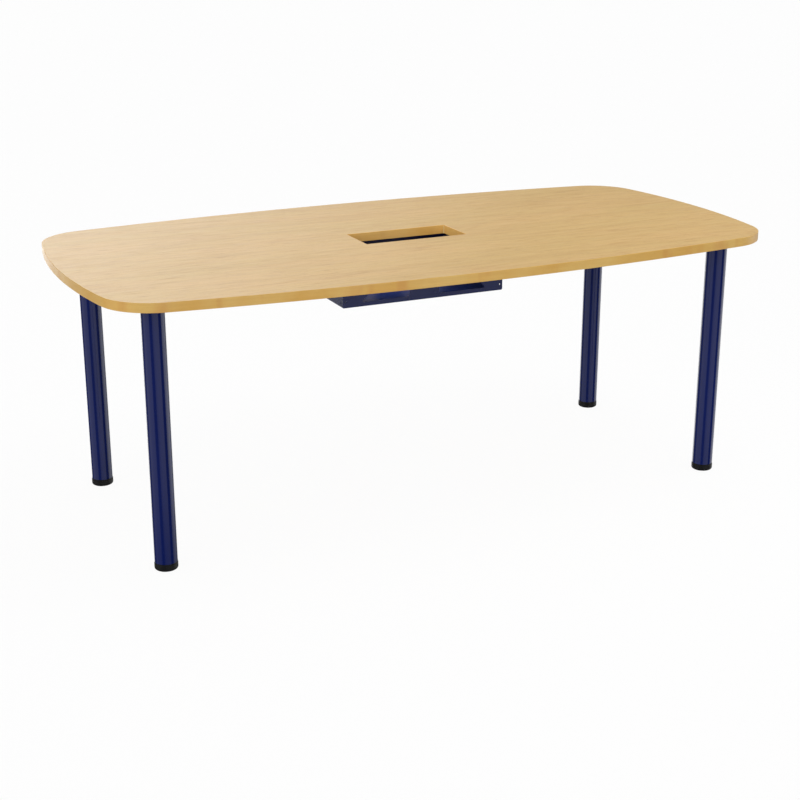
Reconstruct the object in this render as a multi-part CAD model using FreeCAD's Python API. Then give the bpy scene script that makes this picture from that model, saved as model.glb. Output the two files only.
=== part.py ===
"""Oval meeting table: a barrel-shaped beech board on four round screw-on legs with levelling feet,
with a cable cut-out in the middle and a folded steel cable tray hung under it.

Millimetres. The origin is on the floor under the middle of the table, X runs along the table, +Z is up,
and the front of the table is towards -Y.
"""

import FreeCAD, Part
import math
import os

from FreeCAD import Vector

# Table top
TOP_LENGTH = 2000.0
TOP_WIDTH = 1000.0
TOP_HEIGHT = 740.0
TOP_THICKNESS = 25.0
SIDE_BOW = 75.0
END_BOW = 70.0
CORNER_RADIUS = 150.0
BAND_THICKNESS = 2.0
BAND_ROUND = 1.2

# Cable cut-out, clear opening between its edge strips
CUTOUT_LENGTH = 310.0
CUTOUT_WIDTH = 140.0
STRIP_THICKNESS = 2.0
STRIP_ROUND = 0.8

# Legs
LEG_DIAMETER = 60.0
LEG_WALL = 1.5
LEG_END_INSET = 155.0
LEG_SIDE_INSET = 172.5

# Leg mounting plates, each with a spigot that the leg tube slides over
PLATE_SIZE = 110.0
PLATE_THICKNESS = 4.0
PLATE_CORNER = 14.0
PLATE_HOLE_PITCH = 84.0
SPIGOT_LENGTH = 45.0
SPIGOT_WALL = 3.0
SPIGOT_CLEARANCE = 0.2

# Chipboard screws of the plates and of the tray
PLATE_SCREW_DIAMETER = 5.0
PLATE_SCREW_LENGTH = 20.0
PLATE_SCREW_HEAD_DIAMETER = 9.5
PLATE_SCREW_HEAD_HEIGHT = 3.0
TRAY_SCREW_DIAMETER = 4.0
TRAY_SCREW_LENGTH = 16.0
TRAY_SCREW_HEAD_DIAMETER = 8.0
TRAY_SCREW_HEAD_HEIGHT = 2.4
SCREW_HOLE_CLEARANCE = 0.25
PILOT_CLEARANCE = 0.05
HEAD_CHAMFER = 1.0

# Button-head screw that locks each tube on its spigot
LOCK_SCREW_DIAMETER = 6.0
LOCK_SCREW_DROP = 22.0
LOCK_SCREW_REACH = 3.0
LOCK_HEAD_DIAMETER = 10.5
LOCK_HEAD_HEIGHT = 3.3
LOCK_SOCKET_WIDTH = 4.0
LOCK_SOCKET_DEPTH = 2.0

# Levelling feet
FOOT_DIAMETER = 62.0
FOOT_HEIGHT = 18.0
FOOT_BOTTOM_ROUND = 6.0
FOOT_TOP_ROUND = 1.5
FOOT_RECESS_DIAMETER = 28.0
FOOT_RECESS_DEPTH = 1.5
FOOT_TRAVEL = 20.0
SPINDLE_DIAMETER = 10.0
SPINDLE_SEAT = 12.0
SPINDLE_SPARE = 6.0
SPINDLE_CHAMFER = 1.0
RUNNING_CLEARANCE = 0.08

# Plastic insert in the bottom of each tube, with the nut that the spindle screws into
INSERT_FLANGE_HEIGHT = 3.0
INSERT_LENGTH = 36.0
INSERT_WALL = 2.5
INSERT_FLOOR = 4.0
INSERT_CLEARANCE = 0.1
INSERT_BOSS_WALL = 3.0
INSERT_RIB = 2.0
INSERT_RIB_COUNT = 6
NUT_WIDTH = 17.0
NUT_HEIGHT = 8.0
NUT_CLEARANCE = 0.1

# Cable tray, folded from one sheet
TRAY_LENGTH = 500.0
TRAY_WIDTH = 240.0
TRAY_DEPTH = 138.0
TRAY_SHEET = 1.5
TRAY_BEND = 1.5
TRAY_FLANGE = 22.0
TRAY_CORNER_GAP = 0.6
TRAY_SCREW_PITCH = 200.0
TRAY_HOLE_DIAMETER = 6.0
TRAY_WALL_HOLE_INSET = 8.0
TRAY_WALL_HOLE_RISE = 18.0
TRAY_END_HOLE_INSET = 14.5
TRAY_END_HOLE_RISE = 14.0
TRAY_END_HEADROOM = 1.0

# Windows in the two long walls of the tray, a pair to each wall with a pillar between
WINDOW_LENGTH = 150.0
WINDOW_SILL = 13.0
WINDOW_HEAD = 25.0
WINDOW_LEAN = 45.0
WINDOW_ROUND = 3.0
PILLAR_WIDTH = 90.0

# Where the pieces meet
UNDERSIDE = TOP_HEIGHT - TOP_THICKNESS
PLATE_BOTTOM = UNDERSIDE - PLATE_THICKNESS
TUBE_BOTTOM = FOOT_HEIGHT + INSERT_FLANGE_HEIGHT
TUBE_BORE = LEG_DIAMETER - 2 * LEG_WALL
TRAY_BOTTOM = UNDERSIDE - TRAY_DEPTH
LEG_X = TOP_LENGTH / 2 - LEG_END_INSET
LEG_Y = TOP_WIDTH / 2 - LEG_SIDE_INSET
CORNERS = {
    "front_left": (-1, -1),
    "front_right": (1, -1),
    "rear_left": (-1, 1),
    "rear_right": (1, 1),
}
UP = Vector(0, 0, 1)
ORIGIN = Vector(0, 0, 0)
MARGIN = 5.0


def line(a, b):
    return Part.LineSegment(a, b).toShape()


def arc(a, middle, b):
    return Part.Arc(a, middle, b).toShape()


def cylinder(diameter, bottom, top, x=0.0, y=0.0):
    return Part.makeCylinder(diameter / 2, top - bottom, Vector(x, y, bottom), UP)


def box(low, high):
    return Part.makeBox(high[0] - low[0], high[1] - low[1], high[2] - low[2], Vector(*low))


def hexagon(width, bottom, top):
    """Upright hexagonal prism of that width across flats."""
    corner = width / math.sqrt(3)
    angles = [math.radians(60 * i) for i in range(7)]
    points = [Vector(corner * math.cos(a), corner * math.sin(a), bottom) for a in angles]
    return Part.Face(Part.makePolygon(points)).extrude(UP * (top - bottom))


def revolve(edges):
    """Solid of revolution about Z of a closed profile drawn in the XZ plane."""
    return Part.Face(Part.Wire(edges)).revolve(ORIGIN, UP, 360)


def save(name, *solids):
    shape = solids[0] if len(solids) == 1 else Part.makeCompound(list(solids))
    for solid in shape.Solids:
        if not solid.isValid():
            raise ValueError(name + " has a solid that isn't valid")
    shape.exportStep("parts/" + name + ".step")


# Table top

def barrel_outline(inset, z):
    """Closed outline of the top, that far inside the finished edge: bowed sides and ends, round corners."""
    half_length = TOP_LENGTH / 2
    half_width = TOP_WIDTH / 2
    side_radius = (half_length**2 + SIDE_BOW**2) / (2 * SIDE_BOW)
    end_radius = (half_width**2 + END_BOW**2) / (2 * END_BOW)
    side_centre = Vector(0, half_width - side_radius, z)
    end_centre = Vector(half_length - end_radius, 0, z)

    # The corner circle touches both arcs from inside, which sets how far its centre lies from theirs.
    to_side = side_radius - CORNER_RADIUS
    to_end = end_radius - CORNER_RADIUS
    between = end_centre - side_centre
    along = (to_side**2 - to_end**2 + between.Length**2) / (2 * between.Length)
    across = math.sqrt(to_side**2 - along**2)
    direction = between.normalize()
    corner_centre = side_centre + direction * along + direction.cross(UP) * across

    side_way = (corner_centre - side_centre).normalize()
    end_way = (corner_centre - end_centre).normalize()
    side_touch = side_centre + side_way * (side_radius - inset)
    end_touch = end_centre + end_way * (end_radius - inset)
    corner_middle = corner_centre + (side_way + end_way).normalize() * (CORNER_RADIUS - inset)

    def turned(point, sx, sy):
        return Vector(point.x * sx, point.y * sy, z)

    edges = []
    for sx, sy in ((1, 1), (-1, 1), (-1, -1), (1, -1)):
        corner = [turned(p, sx, sy) for p in (end_touch, corner_middle, side_touch)]
        edges.append(arc(*corner))
    for sy in (1, -1):
        middle = Vector(0, sy * (half_width - inset), z)
        edges.append(arc(turned(side_touch, 1, sy), middle, turned(side_touch, -1, sy)))
    for sx in (1, -1):
        middle = Vector(sx * (half_length - inset), 0, z)
        edges.append(arc(turned(end_touch, sx, 1), middle, turned(end_touch, sx, -1)))
    return Part.Wire(Part.__sortEdges__(edges))


def barrel_slab(inset):
    return Part.Face(barrel_outline(inset, UNDERSIDE)).extrude(UP * TOP_THICKNESS)


def level_edges(shape):
    """The edges that run level, which are the arrises of a slab."""
    return [e for e in shape.Edges if e.BoundBox.ZLength < BAND_ROUND / 10]


def plate_screw_places():
    """Where the four screws of each mounting plate stand."""
    half = PLATE_HOLE_PITCH / 2
    for sx, sy in CORNERS.values():
        for dx, dy in CORNERS.values():
            yield sx * LEG_X + dx * half, sy * LEG_Y + dy * half


def tray_screw_places():
    """Where the screws of the tray's two flanges stand."""
    reach = TRAY_WIDTH / 2 + TRAY_FLANGE / 2
    for y in (-reach, reach):
        for step in (-1, 0, 1):
            yield step * TRAY_SCREW_PITCH, y


def screw_depth(length, clamped):
    return length - clamped


def top_board():
    hole_x = CUTOUT_LENGTH / 2 + STRIP_THICKNESS
    hole_y = CUTOUT_WIDTH / 2 + STRIP_THICKNESS
    board = barrel_slab(BAND_THICKNESS)
    board = board.cut(box((-hole_x, -hole_y, UNDERSIDE - MARGIN), (hole_x, hole_y, TOP_HEIGHT + MARGIN)))
    pilots = []
    for x, y in plate_screw_places():
        diameter = PLATE_SCREW_DIAMETER + 2 * PILOT_CLEARANCE
        depth = screw_depth(PLATE_SCREW_LENGTH, PLATE_THICKNESS) + PILOT_CLEARANCE
        pilots.append(cylinder(diameter, UNDERSIDE, UNDERSIDE + depth, x, y))
    for x, y in tray_screw_places():
        diameter = TRAY_SCREW_DIAMETER + 2 * PILOT_CLEARANCE
        depth = screw_depth(TRAY_SCREW_LENGTH, TRAY_SHEET) + PILOT_CLEARANCE
        pilots.append(cylinder(diameter, UNDERSIDE, UNDERSIDE + depth, x, y))
    return board.cut(Part.makeCompound(pilots))


def edge_band():
    """Plastic edging round the board, with its two outer arrises rounded over."""
    outside = barrel_slab(0)
    outside = outside.makeFillet(min(BAND_ROUND, 0.9 * BAND_THICKNESS), level_edges(outside))
    return outside.cut(barrel_slab(BAND_THICKNESS))


def cutout_strips():
    """The four strips that line the cut-out; the long pair runs past the ends of the short pair."""
    x = CUTOUT_LENGTH / 2
    y = CUTOUT_WIDTH / 2
    t = STRIP_THICKNESS
    blocks = {
        "front": (box((-x - t, -y - t, UNDERSIDE), (x + t, -y, TOP_HEIGHT)), Vector(0, 1, 0), -y),
        "back": (box((-x - t, y, UNDERSIDE), (x + t, y + t, TOP_HEIGHT)), Vector(0, 1, 0), y),
        "left": (box((-x - t, -y, UNDERSIDE), (-x, y, TOP_HEIGHT)), Vector(1, 0, 0), -x),
        "right": (box((x, -y, UNDERSIDE), (x + t, y, TOP_HEIGHT)), Vector(1, 0, 0), x),
    }
    for side, (block, way, place) in blocks.items():
        faced = [f for f in block.Faces if abs(f.CenterOfMass.dot(way) - place) < t / 10]
        yield side, block.makeFillet(min(STRIP_ROUND, 0.4 * t), level_edges(faced[0]))


# Fasteners

def chipboard_screw(diameter, length, head_diameter, head_height, x, y, seat):
    """Pan-head screw driven upwards, with its head under the seat."""
    head = head_diameter / 2
    shank = diameter / 2
    low = seat - head_height
    high = seat + length
    outline = [
        (0, low),
        (head - HEAD_CHAMFER, low),
        (head, low + HEAD_CHAMFER),
        (head, seat),
        (shank, seat),
        (shank, high - diameter),
        (0, high),
        (0, low),
    ]
    points = [Vector(r, 0, z) for r, z in outline]
    screw = revolve([line(a, b) for a, b in zip(points, points[1:])])
    screw.translate(Vector(x, y, 0))
    return screw


def plate_screws():
    for x, y in plate_screw_places():
        yield chipboard_screw(PLATE_SCREW_DIAMETER, PLATE_SCREW_LENGTH, PLATE_SCREW_HEAD_DIAMETER,
                              PLATE_SCREW_HEAD_HEIGHT, x, y, PLATE_BOTTOM)


def tray_screws():
    for x, y in tray_screw_places():
        yield chipboard_screw(TRAY_SCREW_DIAMETER, TRAY_SCREW_LENGTH, TRAY_SCREW_HEAD_DIAMETER,
                              TRAY_SCREW_HEAD_HEIGHT, x, y, UNDERSIDE - TRAY_SHEET)


# Legs, drawn about the leg's own axis with the lock screw towards +Y

def lock_hole(diameter):
    """A hole through the wall of tube and spigot, level with the lock screw."""
    z = PLATE_BOTTOM - LOCK_SCREW_DROP
    return Part.makeCylinder(diameter / 2, LEG_DIAMETER, Vector(0, 0, z), Vector(0, 1, 0))


def spigot_diameter():
    return TUBE_BORE - 2 * SPIGOT_CLEARANCE


def leg_plate():
    half = PLATE_SIZE / 2
    plate = box((-half, -half, PLATE_BOTTOM), (half, half, UNDERSIDE))
    upright = [e for e in plate.Edges if e.BoundBox.ZLength > PLATE_THICKNESS / 2]
    plate = plate.makeFillet(PLATE_CORNER, upright)
    low = PLATE_BOTTOM - SPIGOT_LENGTH
    spigot = cylinder(spigot_diameter(), low, PLATE_BOTTOM)
    spigot = spigot.cut(cylinder(spigot_diameter() - 2 * SPIGOT_WALL, low, PLATE_BOTTOM))
    plate = plate.fuse(spigot)
    for dx, dy in CORNERS.values():
        x = dx * PLATE_HOLE_PITCH / 2
        y = dy * PLATE_HOLE_PITCH / 2
        hole = PLATE_SCREW_DIAMETER + 2 * SCREW_HOLE_CLEARANCE
        plate = plate.cut(cylinder(hole, PLATE_BOTTOM - MARGIN, UNDERSIDE + MARGIN, x, y))
    return plate.cut(lock_hole(LOCK_SCREW_DIAMETER + 2 * PILOT_CLEARANCE)).removeSplitter()


def leg_tube():
    tube = cylinder(LEG_DIAMETER, TUBE_BOTTOM, PLATE_BOTTOM)
    tube = tube.cut(cylinder(TUBE_BORE, TUBE_BOTTOM, PLATE_BOTTOM))
    return tube.cut(lock_hole(LOCK_SCREW_DIAMETER + 2 * SCREW_HOLE_CLEARANCE))


def lock_screw():
    """Button-head screw with a hexagon socket, drawn upright and then laid along +Y on the tube."""
    seat = LEG_DIAMETER / 2
    tip = spigot_diameter() / 2 - SPIGOT_WALL - LOCK_SCREW_REACH
    radius = LOCK_HEAD_DIAMETER / 2
    top = seat + LOCK_HEAD_HEIGHT
    flat = LOCK_SOCKET_WIDTH * 0.75
    shoulder = Vector(radius * 0.88, 0, seat + LOCK_HEAD_HEIGHT * 0.55)
    profile = [
        line(Vector(0, 0, tip), Vector(LOCK_SCREW_DIAMETER / 2, 0, tip)),
        line(Vector(LOCK_SCREW_DIAMETER / 2, 0, tip), Vector(LOCK_SCREW_DIAMETER / 2, 0, seat)),
        line(Vector(LOCK_SCREW_DIAMETER / 2, 0, seat), Vector(radius, 0, seat)),
        arc(Vector(radius, 0, seat), shoulder, Vector(flat, 0, top)),
        line(Vector(flat, 0, top), Vector(0, 0, top)),
        line(Vector(0, 0, top), Vector(0, 0, tip)),
    ]
    screw = revolve(profile).cut(hexagon(LOCK_SOCKET_WIDTH, top - LOCK_SOCKET_DEPTH, top + MARGIN))
    screw.rotate(ORIGIN, Vector(1, 0, 0), -90)
    screw.translate(Vector(0, 0, PLATE_BOTTOM - LOCK_SCREW_DROP))
    return screw


# Levelling feet, drawn about the leg's own axis

def nut_bottom():
    return TUBE_BOTTOM + INSERT_LENGTH - NUT_HEIGHT


def foot_insert():
    """Moulded plug: a flange under the tube, a thin skirt in its bore, a ribbed boss that holds the nut."""
    top = TUBE_BOTTOM + INSERT_LENGTH
    outer = TUBE_BORE - 2 * INSERT_CLEARANCE
    inner = outer - 2 * INSERT_WALL
    boss = NUT_WIDTH * 2 / math.sqrt(3) + 2 * INSERT_BOSS_WALL
    floor = TUBE_BOTTOM + INSERT_FLOOR
    plug = cylinder(LEG_DIAMETER, FOOT_HEIGHT, TUBE_BOTTOM).fuse(cylinder(outer, TUBE_BOTTOM, top))
    plug = plug.cut(cylinder(inner, floor, top).cut(cylinder(boss, floor, top)))
    for i in range(INSERT_RIB_COUNT):
        inside = boss / 2 - INSERT_BOSS_WALL / 2
        outside = inner / 2 + INSERT_WALL / 2
        rib = box((inside, -INSERT_RIB / 2, floor), (outside, INSERT_RIB / 2, top))
        rib.rotate(ORIGIN, UP, 360.0 * i / INSERT_RIB_COUNT)
        plug = plug.fuse(rib)
    plug = plug.cut(hexagon(NUT_WIDTH + 2 * NUT_CLEARANCE, nut_bottom(), top + MARGIN))
    bore = SPINDLE_DIAMETER + 2 * RUNNING_CLEARANCE
    return plug.cut(cylinder(bore, FOOT_HEIGHT - MARGIN, top)).removeSplitter()


def foot_nut():
    low = nut_bottom()
    high = low + NUT_HEIGHT
    bore = SPINDLE_DIAMETER + 2 * RUNNING_CLEARANCE
    return hexagon(NUT_WIDTH, low, high).cut(cylinder(bore, low, high))


def spindle():
    """Threaded rod, drawn at its outside diameter; it still fills the nut with the foot wound right out."""
    low = FOOT_HEIGHT - SPINDLE_SEAT
    high = nut_bottom() + NUT_HEIGHT + FOOT_TRAVEL + SPINDLE_SPARE
    rod = cylinder(SPINDLE_DIAMETER, low, high)
    rims = [e for e in rod.Edges if e.BoundBox.ZLength < SPINDLE_CHAMFER / 10]
    return rod.makeChamfer(SPINDLE_CHAMFER, rims)


def foot():
    """Round plastic foot with a rolled lower edge and a shallow recess; the spindle stands in its bore."""
    radius = FOOT_DIAMETER / 2
    bore = SPINDLE_DIAMETER / 2 + RUNNING_CLEARANCE
    recess = FOOT_RECESS_DIAMETER / 2
    seat = FOOT_HEIGHT - SPINDLE_SEAT
    bend = math.sqrt(0.5)
    low = FOOT_BOTTOM_ROUND
    top = FOOT_TOP_ROUND

    def at(r, z):
        return Vector(r, 0, z)

    profile = [
        line(at(bore, FOOT_HEIGHT), at(radius - top, FOOT_HEIGHT)),
        arc(at(radius - top, FOOT_HEIGHT), at(radius - top + top * bend, FOOT_HEIGHT - top + top * bend),
            at(radius, FOOT_HEIGHT - top)),
        line(at(radius, FOOT_HEIGHT - top), at(radius, low)),
        arc(at(radius, low), at(radius - low + low * bend, low - low * bend), at(radius - low, 0)),
        line(at(radius - low, 0), at(recess, 0)),
        line(at(recess, 0), at(recess, FOOT_RECESS_DEPTH)),
        line(at(recess, FOOT_RECESS_DEPTH), at(0, FOOT_RECESS_DEPTH)),
        line(at(0, FOOT_RECESS_DEPTH), at(0, seat)),
        line(at(0, seat), at(bore, seat)),
        line(at(bore, seat), at(bore, FOOT_HEIGHT)),
    ]
    return revolve(profile)


# Cable tray

def folded_sheet(points):
    """Outline of sheet that follows these points at mid-thickness, with a round bend at each corner."""
    half = TRAY_SHEET / 2
    middle_radius = TRAY_BEND + half
    ways = [(b - a).normalize() for a, b in zip(points, points[1:])]
    plane = next(a.cross(b) for a, b in zip(ways, ways[1:]) if a.cross(b).Length > 0).normalize()
    sides = []
    for side in (half, -half):
        edges = []
        start = points[0] + plane.cross(ways[0]) * side
        for i, way in enumerate(ways):
            left = plane.cross(way)
            if i == len(ways) - 1:
                edges.append(line(start, points[-1] + left * side))
                break
            following = ways[i + 1]
            turn = 1 if way.cross(following).dot(plane) > 0 else -1
            corner = points[i + 1]
            before = corner - way * middle_radius
            after = corner + following * middle_radius
            centre = before + left * (turn * middle_radius)
            radius = middle_radius - turn * side
            inward = (way - following).normalize()
            bend_start = before + left * side
            bend_end = after + plane.cross(following) * side
            edges.append(line(start, bend_start))
            edges.append(arc(bend_start, centre + inward * radius, bend_end))
            start = bend_end
        sides.append(edges)
    ends = []
    for pick in (0, -1):
        caps = [edges[pick].Vertexes[pick].Point for edges in sides]
        ends.append(line(*caps))
    return Part.Wire(Part.__sortEdges__(sides[0] + sides[1] + ends))


def tray_body():
    """Floor, two tall walls and their screw flanges, folded as one long section."""
    half = TRAY_SHEET / 2
    wall = TRAY_WIDTH / 2 - half
    flange = TRAY_WIDTH / 2 + TRAY_FLANGE
    top = UNDERSIDE - half
    floor = TRAY_BOTTOM + half
    x = -TRAY_LENGTH / 2
    section = [(-flange, top), (-wall, top), (-wall, floor), (wall, floor), (wall, top), (flange, top)]
    outline = folded_sheet([Vector(x, y, z) for y, z in section])
    return Part.Face(outline).extrude(Vector(TRAY_LENGTH, 0, 0))


def tray_end(side):
    """End wall, folded up from the floor between the long walls; side is -1 for the left, 1 for the right."""
    half = TRAY_SHEET / 2
    floor = TRAY_BOTTOM + half
    width = TRAY_WIDTH - 2 * (TRAY_SHEET + TRAY_CORNER_GAP)
    top = UNDERSIDE - TRAY_END_HEADROOM
    section = [(relief_start(), floor), (TRAY_LENGTH / 2 - half, floor), (TRAY_LENGTH / 2 - half, top)]
    outline = folded_sheet([Vector(side * x, -width / 2, z) for x, z in section])
    return Part.Face(outline).extrude(Vector(0, width, 0))


def relief_start():
    """Where the floor stops short of the end, so that the corner can be folded."""
    return TRAY_LENGTH / 2 - TRAY_SHEET - TRAY_BEND - TRAY_CORNER_GAP


def tray_window():
    """Cutter for the right-hand window of both long walls: upright at the pillar, leaning outer side."""
    sill = TRAY_BOTTOM + WINDOW_SILL
    head = UNDERSIDE - WINDOW_HEAD
    inner = PILLAR_WIDTH / 2
    outer = inner + WINDOW_LENGTH
    leant = outer - (head - sill) * math.tan(math.radians(WINDOW_LEAN))
    y = TRAY_WIDTH / 2 + MARGIN
    outline = ((inner, sill), (outer, sill), (leant, head), (inner, head), (inner, sill))
    points = [Vector(x, -y, z) for x, z in outline]
    block = Part.Face(Part.makePolygon(points)).extrude(Vector(0, 2 * y, 0))
    across = [e for e in block.Edges if e.BoundBox.YLength > y]
    return block.makeFillet(WINDOW_ROUND, across)


def tray_holes():
    """Small holes near the lower corners of all four walls, and the screw holes of the flanges."""
    reach = TRAY_SHEET + MARGIN
    holes = []
    for sx, sy in CORNERS.values():
        wall = Vector(sx * (TRAY_LENGTH / 2 - TRAY_WALL_HOLE_INSET), sy * (TRAY_WIDTH / 2 - reach),
                      TRAY_BOTTOM + TRAY_WALL_HOLE_RISE)
        end = Vector(sx * (TRAY_LENGTH / 2 - reach), sy * (TRAY_WIDTH / 2 - TRAY_END_HOLE_INSET),
                     TRAY_BOTTOM + TRAY_END_HOLE_RISE)
        holes.append(Part.makeCylinder(TRAY_HOLE_DIAMETER / 2, 2 * reach, wall, Vector(0, sy, 0)))
        holes.append(Part.makeCylinder(TRAY_HOLE_DIAMETER / 2, 2 * reach, end, Vector(sx, 0, 0)))
    for x, y in tray_screw_places():
        hole = TRAY_SCREW_DIAMETER + 2 * SCREW_HOLE_CLEARANCE
        holes.append(cylinder(hole, UNDERSIDE - TRAY_SHEET - MARGIN, UNDERSIDE + MARGIN, x, y))
    return Part.makeCompound(holes)


def cable_tray():
    tray = tray_body()
    outside = TRAY_WIDTH / 2 + MARGIN
    bend_top = TRAY_BOTTOM + TRAY_SHEET + TRAY_BEND
    for side in (-1, 1):
        inner, outer = sorted((side * relief_start(), side * (TRAY_LENGTH / 2 + MARGIN)))
        tray = tray.cut(box((inner, -outside, TRAY_BOTTOM - MARGIN), (outer, outside, bend_top)))
        tray = tray.fuse(tray_end(side))
    window = tray_window()
    for cutter in (window, window.mirror(ORIGIN, Vector(1, 0, 0))):
        tray = tray.cut(cutter)
    return tray.cut(tray_holes()).removeSplitter()


# Assembly

def placed(shape, corner):
    """A copy of a leg piece at its corner, with its lock screw towards the middle line of the table."""
    sx, sy = CORNERS[corner]
    copy = shape.copy()
    if sy > 0:
        copy.rotate(ORIGIN, UP, 180)
    copy.translate(Vector(sx * LEG_X, sy * LEG_Y, 0))
    return copy


def main():
    os.makedirs("parts", exist_ok=True)
    save("top_board", top_board())
    save("edge_band", edge_band())
    for side, strip in cutout_strips():
        save("cutout_strip_" + side, strip)
    save("cable_tray", cable_tray())
    save("tray_screws", *tray_screws())
    save("plate_screws", *plate_screws())
    pieces = {
        "leg_plate": leg_plate(),
        "leg_tube": leg_tube(),
        "foot_insert": foot_insert(),
        "spindle": spindle(),
        "foot": foot(),
    }
    for corner in CORNERS:
        for name, shape in pieces.items():
            save(corner + "_" + name, placed(shape, corner))
    save("leg_lock_screws", *[placed(lock_screw(), corner) for corner in CORNERS])
    save("foot_nuts", *[placed(foot_nut(), corner) for corner in CORNERS])


main()
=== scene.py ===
# Looks of the oval meeting table: materials, threaded hardware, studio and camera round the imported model.
import math

import bmesh
import bpy
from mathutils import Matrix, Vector


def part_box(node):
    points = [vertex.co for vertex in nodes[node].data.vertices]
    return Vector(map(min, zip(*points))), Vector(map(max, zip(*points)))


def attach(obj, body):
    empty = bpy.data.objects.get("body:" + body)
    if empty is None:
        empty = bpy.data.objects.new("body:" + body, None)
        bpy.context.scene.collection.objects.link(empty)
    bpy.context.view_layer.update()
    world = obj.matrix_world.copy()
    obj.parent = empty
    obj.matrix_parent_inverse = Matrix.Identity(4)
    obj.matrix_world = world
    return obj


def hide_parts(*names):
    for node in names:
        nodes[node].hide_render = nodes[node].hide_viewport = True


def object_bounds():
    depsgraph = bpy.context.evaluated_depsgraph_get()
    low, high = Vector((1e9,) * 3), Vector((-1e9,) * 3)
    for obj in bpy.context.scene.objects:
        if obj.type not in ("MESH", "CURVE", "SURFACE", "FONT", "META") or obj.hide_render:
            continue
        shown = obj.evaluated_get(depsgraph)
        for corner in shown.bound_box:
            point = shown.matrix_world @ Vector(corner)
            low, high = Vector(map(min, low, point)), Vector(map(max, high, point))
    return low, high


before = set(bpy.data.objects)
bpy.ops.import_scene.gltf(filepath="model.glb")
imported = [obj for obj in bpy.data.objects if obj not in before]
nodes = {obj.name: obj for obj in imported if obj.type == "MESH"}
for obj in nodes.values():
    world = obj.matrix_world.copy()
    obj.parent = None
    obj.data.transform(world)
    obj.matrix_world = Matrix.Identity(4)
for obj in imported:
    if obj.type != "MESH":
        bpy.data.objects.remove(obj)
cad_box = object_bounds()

# Metres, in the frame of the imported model: X along the table, -Y to its front, Z up from the floor.
MM = 0.001
CORNERS = ("front_left", "front_right", "rear_left", "rear_right")

# Camera, as fitted to the photograph
CAMERA_PLACE = (-1.78865, -3.76496, 1.64027)
CAMERA_PITCH = 18.574
CAMERA_YAW = 25.157
PHOTO_SIDE = 800
FOCAL_PIXELS = 1481.0
SENSOR = 36.0

# Studio, in metres, degrees and watts. The eye sees the white behind the floor through its clear share.
FLOOR_REACH = 60.0
FLOOR_COLOUR = (0.95, 0.95, 0.95, 1)
FLOOR_CLEAR = 0.95
SKY_LEVEL = 0.62
WINDOW_WAY = (0.80, 0.48, -0.25)
WINDOW_LEVEL = 1.0
WINDOW_WIDTH = 35.0
LAMP_PLACE = (1.0, -0.6, 2.8)
LAMP_SIDE = 1.4
LAMP_POWER = 20.5

# White panels round the studio, as gloss mirrors them: bearing in degrees from the front towards the right,
# and how bright the studio is there. The low values are the dark gaps between panels.
PANELS = (
    (-180, 2.25), (-168, 1.10), (-157, 0.20), (-148, 0.08), (-129, 0.08), (-120, 0.60), (-60, 0.55),
    (-50, 0.05), (-31, 0.05), (-22, 0.44), (-4, 0.60), (31, 0.62), (38, 0.03), (60, 0.03),
    (72, 1.15), (104, 1.20), (114, 0.45), (150, 0.35), (172, 2.20), (180, 2.25),
)
# How much of that gloss mirrors at a slope in degrees, negative being down: less where it meets the floor
# close by.
PANEL_SHARES = (
    (-90, 0.35), (-25, 0.35), (-23.4, 0.58), (-22, 0.88), (-20, 1.0), (-17, 1.12),
    (-12, 1.15), (-5, 1.0), (90, 1.0),
)

# Threaded hardware. A thread's form is (share of the pitch, share of the depth) once round its profile.
TURN_STEPS = 32
ROUND_STEPS = 6
MERGE = 0.0005 * MM
SHARP_ANGLE = 30.0
METRIC_THREAD = ((0.0, 1.0), (0.13, 1.0), (0.44, 0.0), (0.69, 0.0))
SPINDLE_PITCH = 1.5 * MM
SPINDLE_DEPTH = 0.92 * MM
SPINDLE_CHAMFER = 1.0 * MM
WOOD_THREAD = ((0.0, 1.0), (0.06, 1.0), (0.28, 0.0), (0.80, 0.0))
PLATE_SCREW = {"shank": 5.0 * MM, "head": 3.0 * MM, "pitch": 2.2 * MM}
TRAY_SCREW = {"shank": 4.0 * MM, "head": 2.4 * MM, "pitch": 1.8 * MM}

# Chipboard screws, as shares of the shank or the head
CORE_SHARE = 0.64
POINT_SLOPE = 0.5
HEAD_ROUND = 0.72
RECESS_REACH = 0.48
RECESS_WING = 0.27
RECESS_TAPER = 0.62
RECESS_DEPTH = 0.62

# Seam where the cut-out's edge strips meet
SEAM = 2.0 * MM

# Sheet of the cable tray
TRAY_SHEET = 1.5 * MM
TRAY_FLANGE = 22.0 * MM

# Most of a noise lies in this span. A finish is the roughness at its two ends.
NOISE_SPAN = (0.3, 0.7)
LAMINATE_FINISH = (0.32, 0.42)
EDGING_FINISH = (0.30, 0.40)
CORE_FINISH = 0.6
GLOSS_FINISH = (0.06, 0.11)
SATIN_FINISH = (0.20, 0.28)
DULL_FINISH = (0.34, 0.46)
PLATE_FINISH = (0.24, 0.40)
PLASTIC_FINISH = (0.42, 0.58)
ZINC_FINISH = (0.22, 0.38)

# Strength of the mirror image: as most plastics and lacquers have it, on black plastic, and on the tray's
# inner floor where its colour is painted lighter
FULL_MIRROR = 0.5
PLASTIC_MIRROR = 0.4
TRAY_FLOOR_MIRROR = 0.1


def paint(red, green, blue):
    """A colour given as sRGB, 0 to 255, in the linear values that the shaders take."""
    def linear(value):
        share = value / 255
        return share / 12.92 if share <= 0.04045 else ((share + 0.055) / 1.055) ** 2.4
    return (linear(red), linear(green), linear(blue), 1.0)


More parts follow.
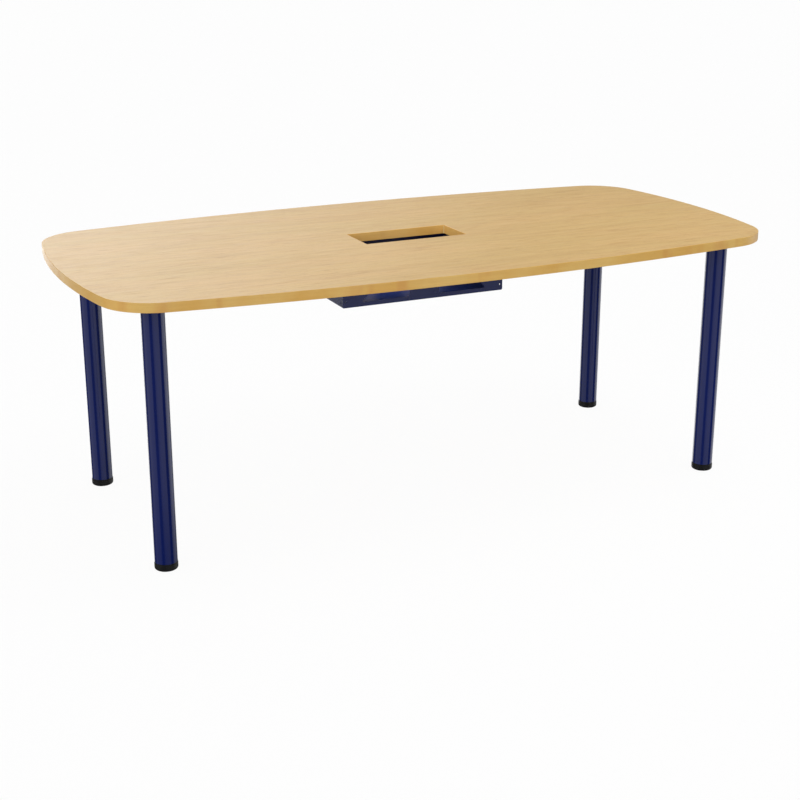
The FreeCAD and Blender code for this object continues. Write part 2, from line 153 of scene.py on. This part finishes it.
# Colours
BEECH_TONES = (paint(222, 183, 117), paint(218, 183, 114))
BEECH_STREAK = paint(194, 148, 80)
BEECH_DASH = paint(184, 130, 60)
BEECH_FIBRE = paint(182, 139, 70)
BEECH_FLECK = paint(146, 104, 60)
BAND_TONES = {"pale": paint(220, 182, 105), "warm": paint(213, 166, 82), "dark": paint(193, 144, 65)}
# A paler copy of the edging tones for the cut-out's strips: painted light, for the light that falls into
# the cut-out.
PAINTED_LIGHT_LINING_TONES = {"pale": paint(238, 195, 116), "warm": paint(232, 179, 94), "dark": paint(212, 159, 76)}
EDGING_MOTTLE = paint(192, 124, 62)
EDGING_PORE = paint(140, 98, 50)
# Cream of the edging's core, paler than the strips, so that it also stands in as a painted highlight in the
# cut-out's corners.
CORE_AND_HIGHLIGHT_TONES = (paint(240, 216, 150), paint(228, 198, 128))
BLUE_TONES = (paint(12, 24, 80), paint(15, 29, 90))
# Lighter blue on the tray's inner floor: painted light, for the light that falls into the tray.
PAINTED_LIGHT_BLUE = paint(54, 74, 150)
PLATE_TONES = (paint(16, 23, 60), paint(22, 30, 74))
PLASTIC_TONES = (paint(10, 11, 13), paint(15, 16, 18))
ZINC_TONES = (paint(188, 192, 198), paint(214, 214, 208))


# Shader building

class Graph:
    """A shader node tree under construction."""

    def __init__(self, tree):
        self.tree = tree

    def add(self, kind, inputs=None, **attributes):
        """A new node with its attributes set, and each input given a value or linked to an output."""
        node = self.tree.nodes.new("ShaderNode" + kind)
        for name, value in attributes.items():
            setattr(node, name, value)
        for socket, value in (inputs or {}).items():
            if isinstance(value, bpy.types.NodeSocket):
                self.tree.links.new(value, node.inputs[socket])
            else:
                node.inputs[socket].default_value = value
        return node

    def math(self, operation, first, second):
        """The output of an arithmetic node."""
        return self.add("Math", {0: first, 1: second}, operation=operation).outputs[0]

    def degrees(self, angle):
        """An angle in radians, turned into degrees."""
        return self.math("MULTIPLY", angle, math.degrees(1))

    def mix(self, factor, first, second):
        """From the first colour at factor 0 to the second at 1."""
        node = self.add("MixRGB", {"Fac": factor, "Color1": first, "Color2": second})
        return node.outputs["Color"]

    def spread(self, value, low, high, to_low=0.0, to_high=1.0):
        """Maps low..high of a value to to_low..to_high, and holds it there outside."""
        limits = {"From Min": low, "From Max": high, "To Min": to_low, "To Max": to_high}
        return self.add("MapRange", {"Value": value, **limits}).outputs["Result"]

    def ramp(self, value, stops):
        """A grey that follows (value, level) stops, with straight lines between them."""
        low, high = stops[0][0], stops[-1][0]
        node = self.add("ValToRGB", {"Fac": self.spread(value, low, high)})
        elements = node.color_ramp.elements
        while len(elements) < len(stops):
            elements.new(0.5)
        for element, (place, level) in zip(elements, stops):
            element.position = (place - low) / (high - low)
            element.color = (level, level, level, 1)
        return node.outputs["Color"]

    def seen(self):
        """1 for what the eye sees directly, in a mirror or through glass, and 0 for light on its way."""
        path = self.add("LightPath").outputs
        mirrored = self.math("MAXIMUM", path["Is Camera Ray"], path["Is Glossy Ray"])
        return self.math("MAXIMUM", mirrored, path["Is Transmission Ray"])


class Surface(Graph):
    """A procedural material under construction, drawn in metres on the piece it covers."""

    def __init__(self, name, metallic=0.0):
        self.material = bpy.data.materials.new(name)
        self.material.use_nodes = True
        super().__init__(self.material.node_tree)
        self.shader = self.tree.nodes["Principled BSDF"]
        self.shader.inputs["Metallic"].default_value = metallic
        self.place = self.add("TexCoord").outputs["Object"]

    def noise(self, cycles, detail=2.0, roughness=0.5, warp=0.0):
        """Noise with that many cycles per metre along X, Y and Z, from 0 to 1."""
        mapped = self.add("Mapping", {"Vector": self.place, "Scale": cycles}).outputs["Vector"]
        settings = {"Scale": 1.0, "Detail": detail, "Roughness": roughness, "Distortion": warp}
        return self.add("TexNoise", {"Vector": mapped, **settings}).outputs["Fac"]

    def wander(self, value, finish):
        """A noise between the two ends of a finish."""
        return self.spread(value, *NOISE_SPAN, *finish)

    def feed(self, socket, output):
        """Lets an output drive one socket of the material."""
        self.tree.links.new(output, self.shader.inputs[socket])

    def feeding(self, socket):
        """The output that drives a socket so far."""
        return self.shader.inputs[socket].links[0].from_socket

    def bump(self, height, depth):
        """Fine relief that is that deep, raised where the height is 1."""
        self.feed("Normal", self.add("Bump", {"Height": height, "Distance": depth}).outputs["Normal"])


def dress(material, slot, *names):
    """Gives CAD nodes a material. The slot argument is not used."""
    for name in names:
        mesh = nodes[name].data
        mesh.materials.clear()
        mesh.materials.append(material)


# Materials

def beech_laminate():
    """Printed beech on the board's faces: broad soft streaks along the table, short dashes, dark flecks."""
    wood = Surface("beech_laminate")
    figure = wood.spread(wood.noise((2.2, 9, 1), 3, 0.5, 0.3), 0.34, 0.66)
    streak = wood.spread(wood.noise((2.8, 38, 1), 4, 0.6, 0.3), 0.46, 0.72, 0.0, 0.42)
    dash = wood.spread(wood.noise((15, 120, 1), 3, 0.55), 0.54, 0.72, 0.0, 0.52)
    fibre = wood.spread(wood.noise((9, 520, 1), 2, 0.6), 0.40, 0.66, 0.0, 0.26)
    fleck = wood.spread(wood.noise((85, 1500, 1), 1), 0.63, 0.72, 0.0, 0.45)
    tone = wood.mix(figure, *BEECH_TONES)
    marks = ((streak, BEECH_STREAK), (dash, BEECH_DASH), (fibre, BEECH_FIBRE), (fleck, BEECH_FLECK))
    for mark, colour in marks:
        tone = wood.mix(mark, tone, colour)
    wood.feed("Base Color", tone)
    wood.feed("Roughness", wood.wander(wood.noise((14, 260, 1), 3), LAMINATE_FINISH))
    wood.bump(fleck, -0.05 * MM)
    return wood.material


def beech_edging(name, pale, warm, dark):
    """Plastic edging printed to match, warmer than the faces, with a blotchy figure round the edge."""
    edging = Surface(name)
    blotch = edging.spread(edging.noise((6.5, 6.5, 9), 3, 0.5, 0.2), 0.36, 0.64)
    streak = edging.spread(edging.noise((9, 9, 260), 3, 0.6), 0.34, 0.68, 0.0, 0.22)
    pore = edging.spread(edging.noise((160, 160, 2600), 1), 0.66, 0.76, 0.0, 0.3)
    mottle = edging.spread(edging.noise((17, 17, 5), 2, 0.5, 0.4), 0.58, 0.72, 0.0, 0.32)
    tone = edging.mix(blotch, warm, pale)
    for mark, colour in ((streak, dark), (mottle, EDGING_MOTTLE), (pore, EDGING_PORE)):
        tone = edging.mix(mark, tone, colour)
    edging.feed("Base Color", tone)
    edging.feed("Roughness", edging.wander(edging.noise((60, 60, 400), 2), EDGING_FINISH))
    return edging.material


def pale_core_and_painted_highlight():
    """The unprinted core of the edging, where two strips meet. Its pale colour also stands in as a painted
    highlight along those corners.
    """
    core = Surface("pale_core_and_painted_highlight")
    core.feed("Base Color", core.mix(core.noise((300, 300, 300)), *CORE_AND_HIGHLIGHT_TONES))
    core.shader.inputs["Roughness"].default_value = CORE_FINISH
    return core.material


def blue_lacquer(name, finish):
    """Deep blue lacquer on steel, with the faintest orange peel."""
    lacquer = Surface(name)
    cloud = lacquer.noise((4, 4, 3), 2)
    lacquer.feed("Base Color", lacquer.mix(cloud, *BLUE_TONES))
    lacquer.feed("Roughness", lacquer.wander(lacquer.noise((45, 45, 45), 3), finish))
    lacquer.bump(lacquer.noise((420, 420, 420), 1), 0.002 * MM)
    return lacquer


def tray_lacquer(name):
    """Blue on a folded tray: satin outside, duller inside where spray hardly reaches, and a lighter blue
    with less mirror on its inner floor, which is painted light.
    """
    lacquer = blue_lacquer("tray_lacquer", SATIN_FINISH)
    low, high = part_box(name)
    axes = lacquer.add("SeparateXYZ", {"Vector": lacquer.place}).outputs
    reach = {"X": high.x - TRAY_SHEET / 2, "Y": high.y - TRAY_FLANGE - TRAY_SHEET / 2}
    inside = lacquer.math("GREATER_THAN", axes["Z"], low.z + TRAY_SHEET / 2)
    for axis, limit in reach.items():
        within = lacquer.math("LESS_THAN", lacquer.math("ABSOLUTE", axes[axis], 0.0), limit)
        inside = lacquer.math("MULTIPLY", inside, within)
    dull = lacquer.wander(lacquer.noise((90, 90, 90), 3), DULL_FINISH)
    lacquer.feed("Roughness", lacquer.mix(inside, lacquer.feeding("Roughness"), dull))
    # The inner floor gets a lighter blue and less mirror: painted light, for the light that falls into the
    # tray.
    near_floor = lacquer.math("LESS_THAN", axes["Z"], low.z + 2 * TRAY_SHEET)
    painted_light_floor = lacquer.math("MULTIPLY", inside, near_floor)
    lacquer.feed("Base Color", lacquer.mix(painted_light_floor, lacquer.feeding("Base Color"), PAINTED_LIGHT_BLUE))
    lacquer.feed("Specular IOR Level", lacquer.spread(painted_light_floor, 0.0, 1.0, FULL_MIRROR, TRAY_FLOOR_MIRROR))
    return lacquer.material


def plate_lacquer():
    """The same blue on the mounting plates, sprayed thinner and duller."""
    lacquer = Surface("plate_lacquer")
    cloud = lacquer.noise((18, 18, 18), 3)
    lacquer.feed("Base Color", lacquer.mix(cloud, *PLATE_TONES))
    lacquer.feed("Roughness", lacquer.wander(lacquer.noise((90, 90, 90), 3), PLATE_FINISH))
    lacquer.bump(lacquer.noise((700, 700, 700), 2), 0.01 * MM)
    return lacquer.material


def black_plastic():
    """Moulded black plastic with a fine spark-eroded grain."""
    plastic = Surface("black_plastic")
    cloud = plastic.noise((60, 60, 60), 2)
    grain = plastic.noise((1900, 1900, 1900), 2)
    plastic.feed("Base Color", plastic.mix(cloud, *PLASTIC_TONES))
    plastic.feed("Roughness", plastic.wander(grain, PLASTIC_FINISH))
    plastic.shader.inputs["Specular IOR Level"].default_value = PLASTIC_MIRROR
    plastic.bump(grain, 0.03 * MM)
    return plastic.material


def zinc_steel():
    """Bright zinc plating, a little cloudy and slightly blue."""
    zinc = Surface("zinc_steel", metallic=1.0)
    cloud = zinc.spread(zinc.noise((240, 240, 240), 3), *NOISE_SPAN)
    zinc.feed("Base Color", zinc.mix(cloud, *ZINC_TONES))
    zinc.feed("Roughness", zinc.wander(zinc.noise((900, 900, 900), 2), ZINC_FINISH))
    return zinc.material


# Turned shapes, drawn about Z

def quarter_turn():
    """The angles of a quarter circle, in even steps."""
    return [math.radians(90 * i / ROUND_STEPS) for i in range(ROUND_STEPS + 1)]


def ring(shape, radius, z):
    """A ring of vertices, or one vertex where the radius is nothing."""
    if radius <= 0:
        return [shape.verts.new((0, 0, z))]
    angles = [2 * math.pi * i / TURN_STEPS for i in range(TURN_STEPS)]
    return [shape.verts.new((radius * math.cos(a), radius * math.sin(a), z)) for a in angles]


def lathe(shape, profile):
    """Faces between the rings of a profile of (radius, z) points; returns the first and the last ring."""
    rings = [ring(shape, radius, z) for radius, z in profile]
    for low, high in zip(rings, rings[1:]):
        for i in range(TURN_STEPS):
            after = (i + 1) % TURN_STEPS
            lower = [low[i % len(low)], low[after % len(low)]]
            upper = [high[after % len(high)], high[i % len(high)]]
            shape.faces.new(list(dict.fromkeys(lower + upper)))
    return rings[0], rings[-1]


def thread(shape, crest, depth, pitch, form, low, high, limit):
    """A helical thread from low to high; limit(z) is the largest radius there, for chamfers and points."""
    closed = list(form) + [(1.0, form[0][1])]

    def radius(angle, z):
        phase = ((z - low) / pitch - angle / (2 * math.pi)) % 1.0
        for (a, start), (b, end) in zip(closed, closed[1:]):
            if a <= phase <= b:
                share = start + (end - start) * (phase - a) / (b - a)
                return min(crest - depth + depth * share, limit(z))

    turns = math.ceil((high - low) / pitch)
    levels = [turn + share for turn in range(-1, turns + 1) for share, _ in form]
    columns = []
    for i in range(TURN_STEPS):
        angle = 2 * math.pi * i / TURN_STEPS
        column = []
        for level in levels:
            z = low + pitch * (level + i / TURN_STEPS)
            z = max(low, min(high, z))
            r = max(radius(angle, z), 0)
            column.append(shape.verts.new((r * math.cos(angle), r * math.sin(angle), z)))
        columns.append(column)
    for i, here in enumerate(columns):
        last = i == TURN_STEPS - 1
        after = columns[0] if last else columns[i + 1]
        shift = len(form) if last else 0
        for k in range(len(levels) - 1 - shift):
            shape.faces.new((here[k], after[k + shift], after[k + 1 + shift], here[k + 1]))


def finished(shape, name, material):
    """The mesh of a shape, with coincident vertices merged and its flat and round faces kept apart."""
    bmesh.ops.remove_doubles(shape, verts=shape.verts, dist=MERGE)
    bmesh.ops.dissolve_degenerate(shape, edges=shape.edges, dist=MERGE)
    bmesh.ops.recalc_face_normals(shape, faces=shape.faces)
    mesh = bpy.data.meshes.new(name)
    shape.to_mesh(mesh)
    shape.free()
    mesh.shade_smooth()
    mesh.set_sharp_from_angle(angle=math.radians(SHARP_ANGLE))
    mesh.materials.append(material)
    return mesh


# Hardware

def spindle_mesh(radius, low, high, material):
    """Threaded rod of a levelling foot, chamfered at both ends."""
    shape = bmesh.new()

    def limit(z):
        return radius - SPINDLE_CHAMFER + min(z - low, high - z, SPINDLE_CHAMFER)

    lathe(shape, [(0, low), (limit(low), low)])
    thread(shape, radius, SPINDLE_DEPTH, SPINDLE_PITCH, METRIC_THREAD, low, high, limit)
    lathe(shape, [(limit(high), high), (0, high)])
    return finished(shape, "spindle_thread", material)


def threaded_spindles(material):
    """Stands threaded rods where the plain spindles are."""
    for corner in CORNERS:
        name = corner + "_spindle"
        low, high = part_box(name)
        middle = (low + high) / 2
        mesh = spindle_mesh((high.x - low.x) / 2, low.z, high.z, material)
        rod = bpy.data.objects.new(corner + "_threaded_spindle", mesh)
        bpy.context.scene.collection.objects.link(rod)
        rod.location = (middle.x, middle.y, 0)
        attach(rod, name)
        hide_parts(name)


def solids_of(name):
    """The lowest and highest corner of each separate solid in a CAD node."""
    shape = bmesh.new()
    shape.from_mesh(nodes[name].data)
    bmesh.ops.remove_doubles(shape, verts=shape.verts, dist=MERGE)
    left = set(shape.verts)
    boxes = []
    for start in shape.verts:
        if start not in left:
            continue
        left.remove(start)
        found = [start]
        for vertex in found:
            near = {edge.other_vert(vertex) for edge in vertex.link_edges} & left
            left -= near
            found.extend(near)
        low = Vector([min(v.co[i] for v in found) for i in range(3)])
        high = Vector([max(v.co[i] for v in found) for i in range(3)])
        boxes.append((low, high))
    shape.free()
    return boxes


def cross_recess(shape, rim, z, reach, depth):
    """Fills a rim with a flat face that has a cross-head recess in it, going up from z."""
    wing = reach * RECESS_WING
    arm = ((wing, -wing), (reach, -wing), (reach, wing))
    outline = []
    for quarter in range(4):
        cos, sin = round(math.cos(quarter * math.pi / 2)), round(math.sin(quarter * math.pi / 2))
        outline += [(x * cos - y * sin, x * sin + y * cos) for x, y in arm]
    mouth = [shape.verts.new((x, y, z)) for x, y in outline]
    floor = [shape.verts.new((x * RECESS_TAPER, y * RECESS_TAPER, z + depth)) for x, y in outline]
    around = list(zip(mouth, mouth[1:] + mouth[:1]))
    edges = [shape.edges.new(pair) for pair in around]
    edges += [shape.edges.get(pair) for pair in zip(rim, rim[1:] + rim[:1])]
    bmesh.ops.triangle_fill(shape, edges=edges, use_beauty=True)
    for i, (here, after) in enumerate(around):
        shape.faces.new((here, after, floor[(i + 1) % len(floor)], floor[i]))
    shape.faces.new(floor)


def chipboard_screw(box, size, material):
    """Pan-head screw as long and wide as a CAD solid, driven upwards: cross recess, neck, thread, point."""
    low, high = box
    head = (high.x - low.x) / 2
    seat = low.z + size["head"]
    shank = size["shank"] / 2
    core = shank * CORE_SHARE
    neck_end = seat + size["pitch"]

    def limit(z):
        neck = core if z < neck_end else shank
        return min(neck, (high.z - z) * POINT_SLOPE)

    shape = bmesh.new()
    edge = size["head"] * HEAD_ROUND
    bend = [(edge * math.sin(a), edge * math.cos(a)) for a in quarter_turn()]
    dome = [(head - edge + across, low.z + edge - up) for across, up in bend]
    rim, _ = lathe(shape, dome + [(head, seat), (core, seat)])
    cross_recess(shape, rim, low.z, head * RECESS_REACH, size["head"] * RECESS_DEPTH)
    thread(shape, shank, shank - core, size["pitch"], WOOD_THREAD, seat, high.z, limit)
    return finished(shape, "chipboard_screw", material)


def chipboard_screws(name, size, material):
    """Puts detailed screws where the plain ones of a CAD node are."""
    boxes = solids_of(name)
    pattern = chipboard_screw(boxes[0], size, material)
    first = (boxes[0][0] + boxes[0][1]) / 2
    every = bmesh.new()
    for low, high in boxes:
        known = len(every.verts)
        every.from_mesh(pattern)
        every.verts.ensure_lookup_table()
        middle = (low + high) / 2
        bmesh.ops.translate(every, verts=every.verts[known:], vec=(middle.x, middle.y, middle.z - first.z))
    screws = bpy.data.objects.new("cross_head_" + name, pattern)
    every.to_mesh(pattern)
    every.free()
    bpy.context.scene.collection.objects.link(screws)
    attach(screws, "table")
    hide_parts(name)


def corner_seams(material):
    """Thin pale coves where the edge strips meet in the corners of the cut-out; part of their paleness is a
    painted highlight.
    """
    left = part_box("cutout_strip_left")[1].x
    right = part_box("cutout_strip_right")[0].x
    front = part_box("cutout_strip_front")[1].y
    back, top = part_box("cutout_strip_back")[0].y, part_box("cutout_strip_back")[1].z
    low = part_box("cutout_strip_back")[0].z
    shape = bmesh.new()
    cove = [(0, 0)]
    cove += [(SEAM * (1 - math.sin(a)), SEAM * (1 - math.cos(a))) for a in quarter_turn()]
    for x, sx in ((left, 1), (right, -1)):
        for y, sy in ((front, 1), (back, -1)):
            section = [(x + sx * along, y + sy * across) for along, across in cove]
            face = shape.faces.new([shape.verts.new((px, py, low)) for px, py in section])
            grown = bmesh.ops.extrude_face_region(shape, geom=[face])["geom"]
            moved = [v for v in grown if isinstance(v, bmesh.types.BMVert)]
            bmesh.ops.translate(shape, verts=moved, vec=(0, 0, top - SEAM - low))
    mesh = finished(shape, "cutout_corner_seams", material)
    seams = bpy.data.objects.new("cutout_corner_seams", mesh)
    bpy.context.scene.collection.objects.link(seams)
    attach(seams, "table")


# Studio

def make_floor():
    """Pale floor: the eye mostly sees the white behind it, so a foot screwed out below it stays in sight.

    The light that falls on the rest of it keeps the shadow. All other light finds it solid.
    """
    material = bpy.data.materials.new("studio_floor")
    material.use_nodes = True
    graph = Graph(material.node_tree)
    graph.tree.nodes.clear()
    lit = graph.add("BsdfDiffuse", {"Color": FLOOR_COLOUR}).outputs["BSDF"]
    clear = graph.add("BsdfTransparent").outputs["BSDF"]
    share = graph.math("MULTIPLY", graph.seen(), FLOOR_CLEAR)
    mixed = graph.add("MixShader", {"Fac": share, 1: lit, 2: clear}).outputs["Shader"]
    graph.add("OutputMaterial", {"Surface": mixed})
    mesh = bpy.data.meshes.new("floor")
    corners = [(x * FLOOR_REACH, y * FLOOR_REACH, 0) for x, y in ((-1, -1), (1, -1), (1, 1), (-1, 1))]
    mesh.from_pydata(corners, [], [(0, 1, 2, 3)])
    mesh.materials.append(material)
    floor = bpy.data.objects.new("floor", mesh)
    bpy.context.scene.collection.objects.link(floor)
    floor.visible_glossy = False


def make_world():
    """White to the eye; gloss mirrors the ring of white panels and their gaps; even light otherwise."""
    world = bpy.data.worlds.new("studio")
    bpy.context.scene.world = world
    world.use_nodes = True
    graph = Graph(world.node_tree)
    graph.tree.nodes.clear()
    axes = graph.add("SeparateXYZ", {"Vector": graph.add("TexCoord").outputs["Generated"]}).outputs
    bearing = graph.math("ARCTAN2", axes["X"], graph.math("MULTIPLY", axes["Y"], -1.0))
    slope = graph.math("ARCSINE", axes["Z"], 0.0)
    panels = graph.ramp(graph.degrees(bearing), PANELS)
    mirrored = graph.math("MULTIPLY", panels, graph.ramp(graph.degrees(slope), PANEL_SHARES))
    path = graph.add("LightPath").outputs
    light = graph.mix(path["Is Glossy Ray"], (SKY_LEVEL, SKY_LEVEL, SKY_LEVEL, 1), mirrored)
    direct = graph.math("MAXIMUM", path["Is Camera Ray"], path["Is Transmission Ray"])
    colour = graph.mix(direct, light, (1, 1, 1, 1))
    background = graph.add("Background", {"Color": colour}).outputs["Background"]
    graph.add("OutputWorld", {"Surface": background})


def make_lights():
    """Soft even light from tall windows on the left, and a large soft lamp high over the right half."""
    window = bpy.data.lights.new("window", "SUN")
    window.energy = WINDOW_LEVEL
    window.angle = math.radians(WINDOW_WIDTH)
    lamp = bpy.data.lights.new("lamp", "AREA")
    lamp.energy = LAMP_POWER
    lamp.size = LAMP_SIDE
    way_down = Vector((0, 0, cad_box[1].z)) - Vector(LAMP_PLACE)
    for light, place, way in ((window, (0, 0, 0), Vector(WINDOW_WAY)), (lamp, LAMP_PLACE, way_down)):
        shown = bpy.data.objects.new(light.name, light)
        bpy.context.scene.collection.objects.link(shown)
        shown.location = place
        shown.rotation_euler = way.to_track_quat("-Z", "Y").to_euler()
        shown.visible_glossy = False


def make_camera():
    """The photograph's camera."""
    lens = bpy.data.cameras.new("camera")
    lens.sensor_width = SENSOR
    lens.lens = FOCAL_PIXELS / PHOTO_SIDE * SENSOR
    camera = bpy.data.objects.new("camera", lens)
    bpy.context.scene.collection.objects.link(camera)
    camera.location = CAMERA_PLACE
    camera.rotation_euler = (math.radians(90 - CAMERA_PITCH), 0, math.radians(-CAMERA_YAW))
    bpy.context.scene.camera = camera
    bpy.context.scene.view_settings.view_transform = "Standard"


def at_corners(name):
    """The nodes of a piece that stands at every corner."""
    return [corner + "_" + name for corner in CORNERS]


make_camera()
make_floor()
make_world()
make_lights()

zinc = zinc_steel()
plastic = black_plastic()
dress(beech_laminate(), "beech_laminate", "top_board")
dress(beech_edging("beech_edging", **BAND_TONES), "beech_edging", "edge_band")
strips = ["cutout_strip_" + side for side in ("front", "back", "left", "right")]
# The cut-out's strips take the paler copy of the edging tones, which is painted light.
dress(beech_edging("beech_lining_painted_light", **PAINTED_LIGHT_LINING_TONES), "beech_edging", *strips)
dress(tray_lacquer("cable_tray"), "blue_lacquer", "cable_tray")
dress(blue_lacquer("blue_lacquer", GLOSS_FINISH).material, "blue_lacquer", *at_corners("leg_tube"))
dress(plate_lacquer(), "plate_steel", *at_corners("leg_plate"))
dress(plastic, "black_plastic", *at_corners("foot"), *at_corners("foot_insert"))
dress(zinc, "zinc_steel", "leg_lock_screws", "foot_nuts")
threaded_spindles(zinc)
chipboard_screws("plate_screws", PLATE_SCREW, zinc)
chipboard_screws("tray_screws", TRAY_SCREW, zinc)
corner_seams(pale_core_and_painted_highlight())
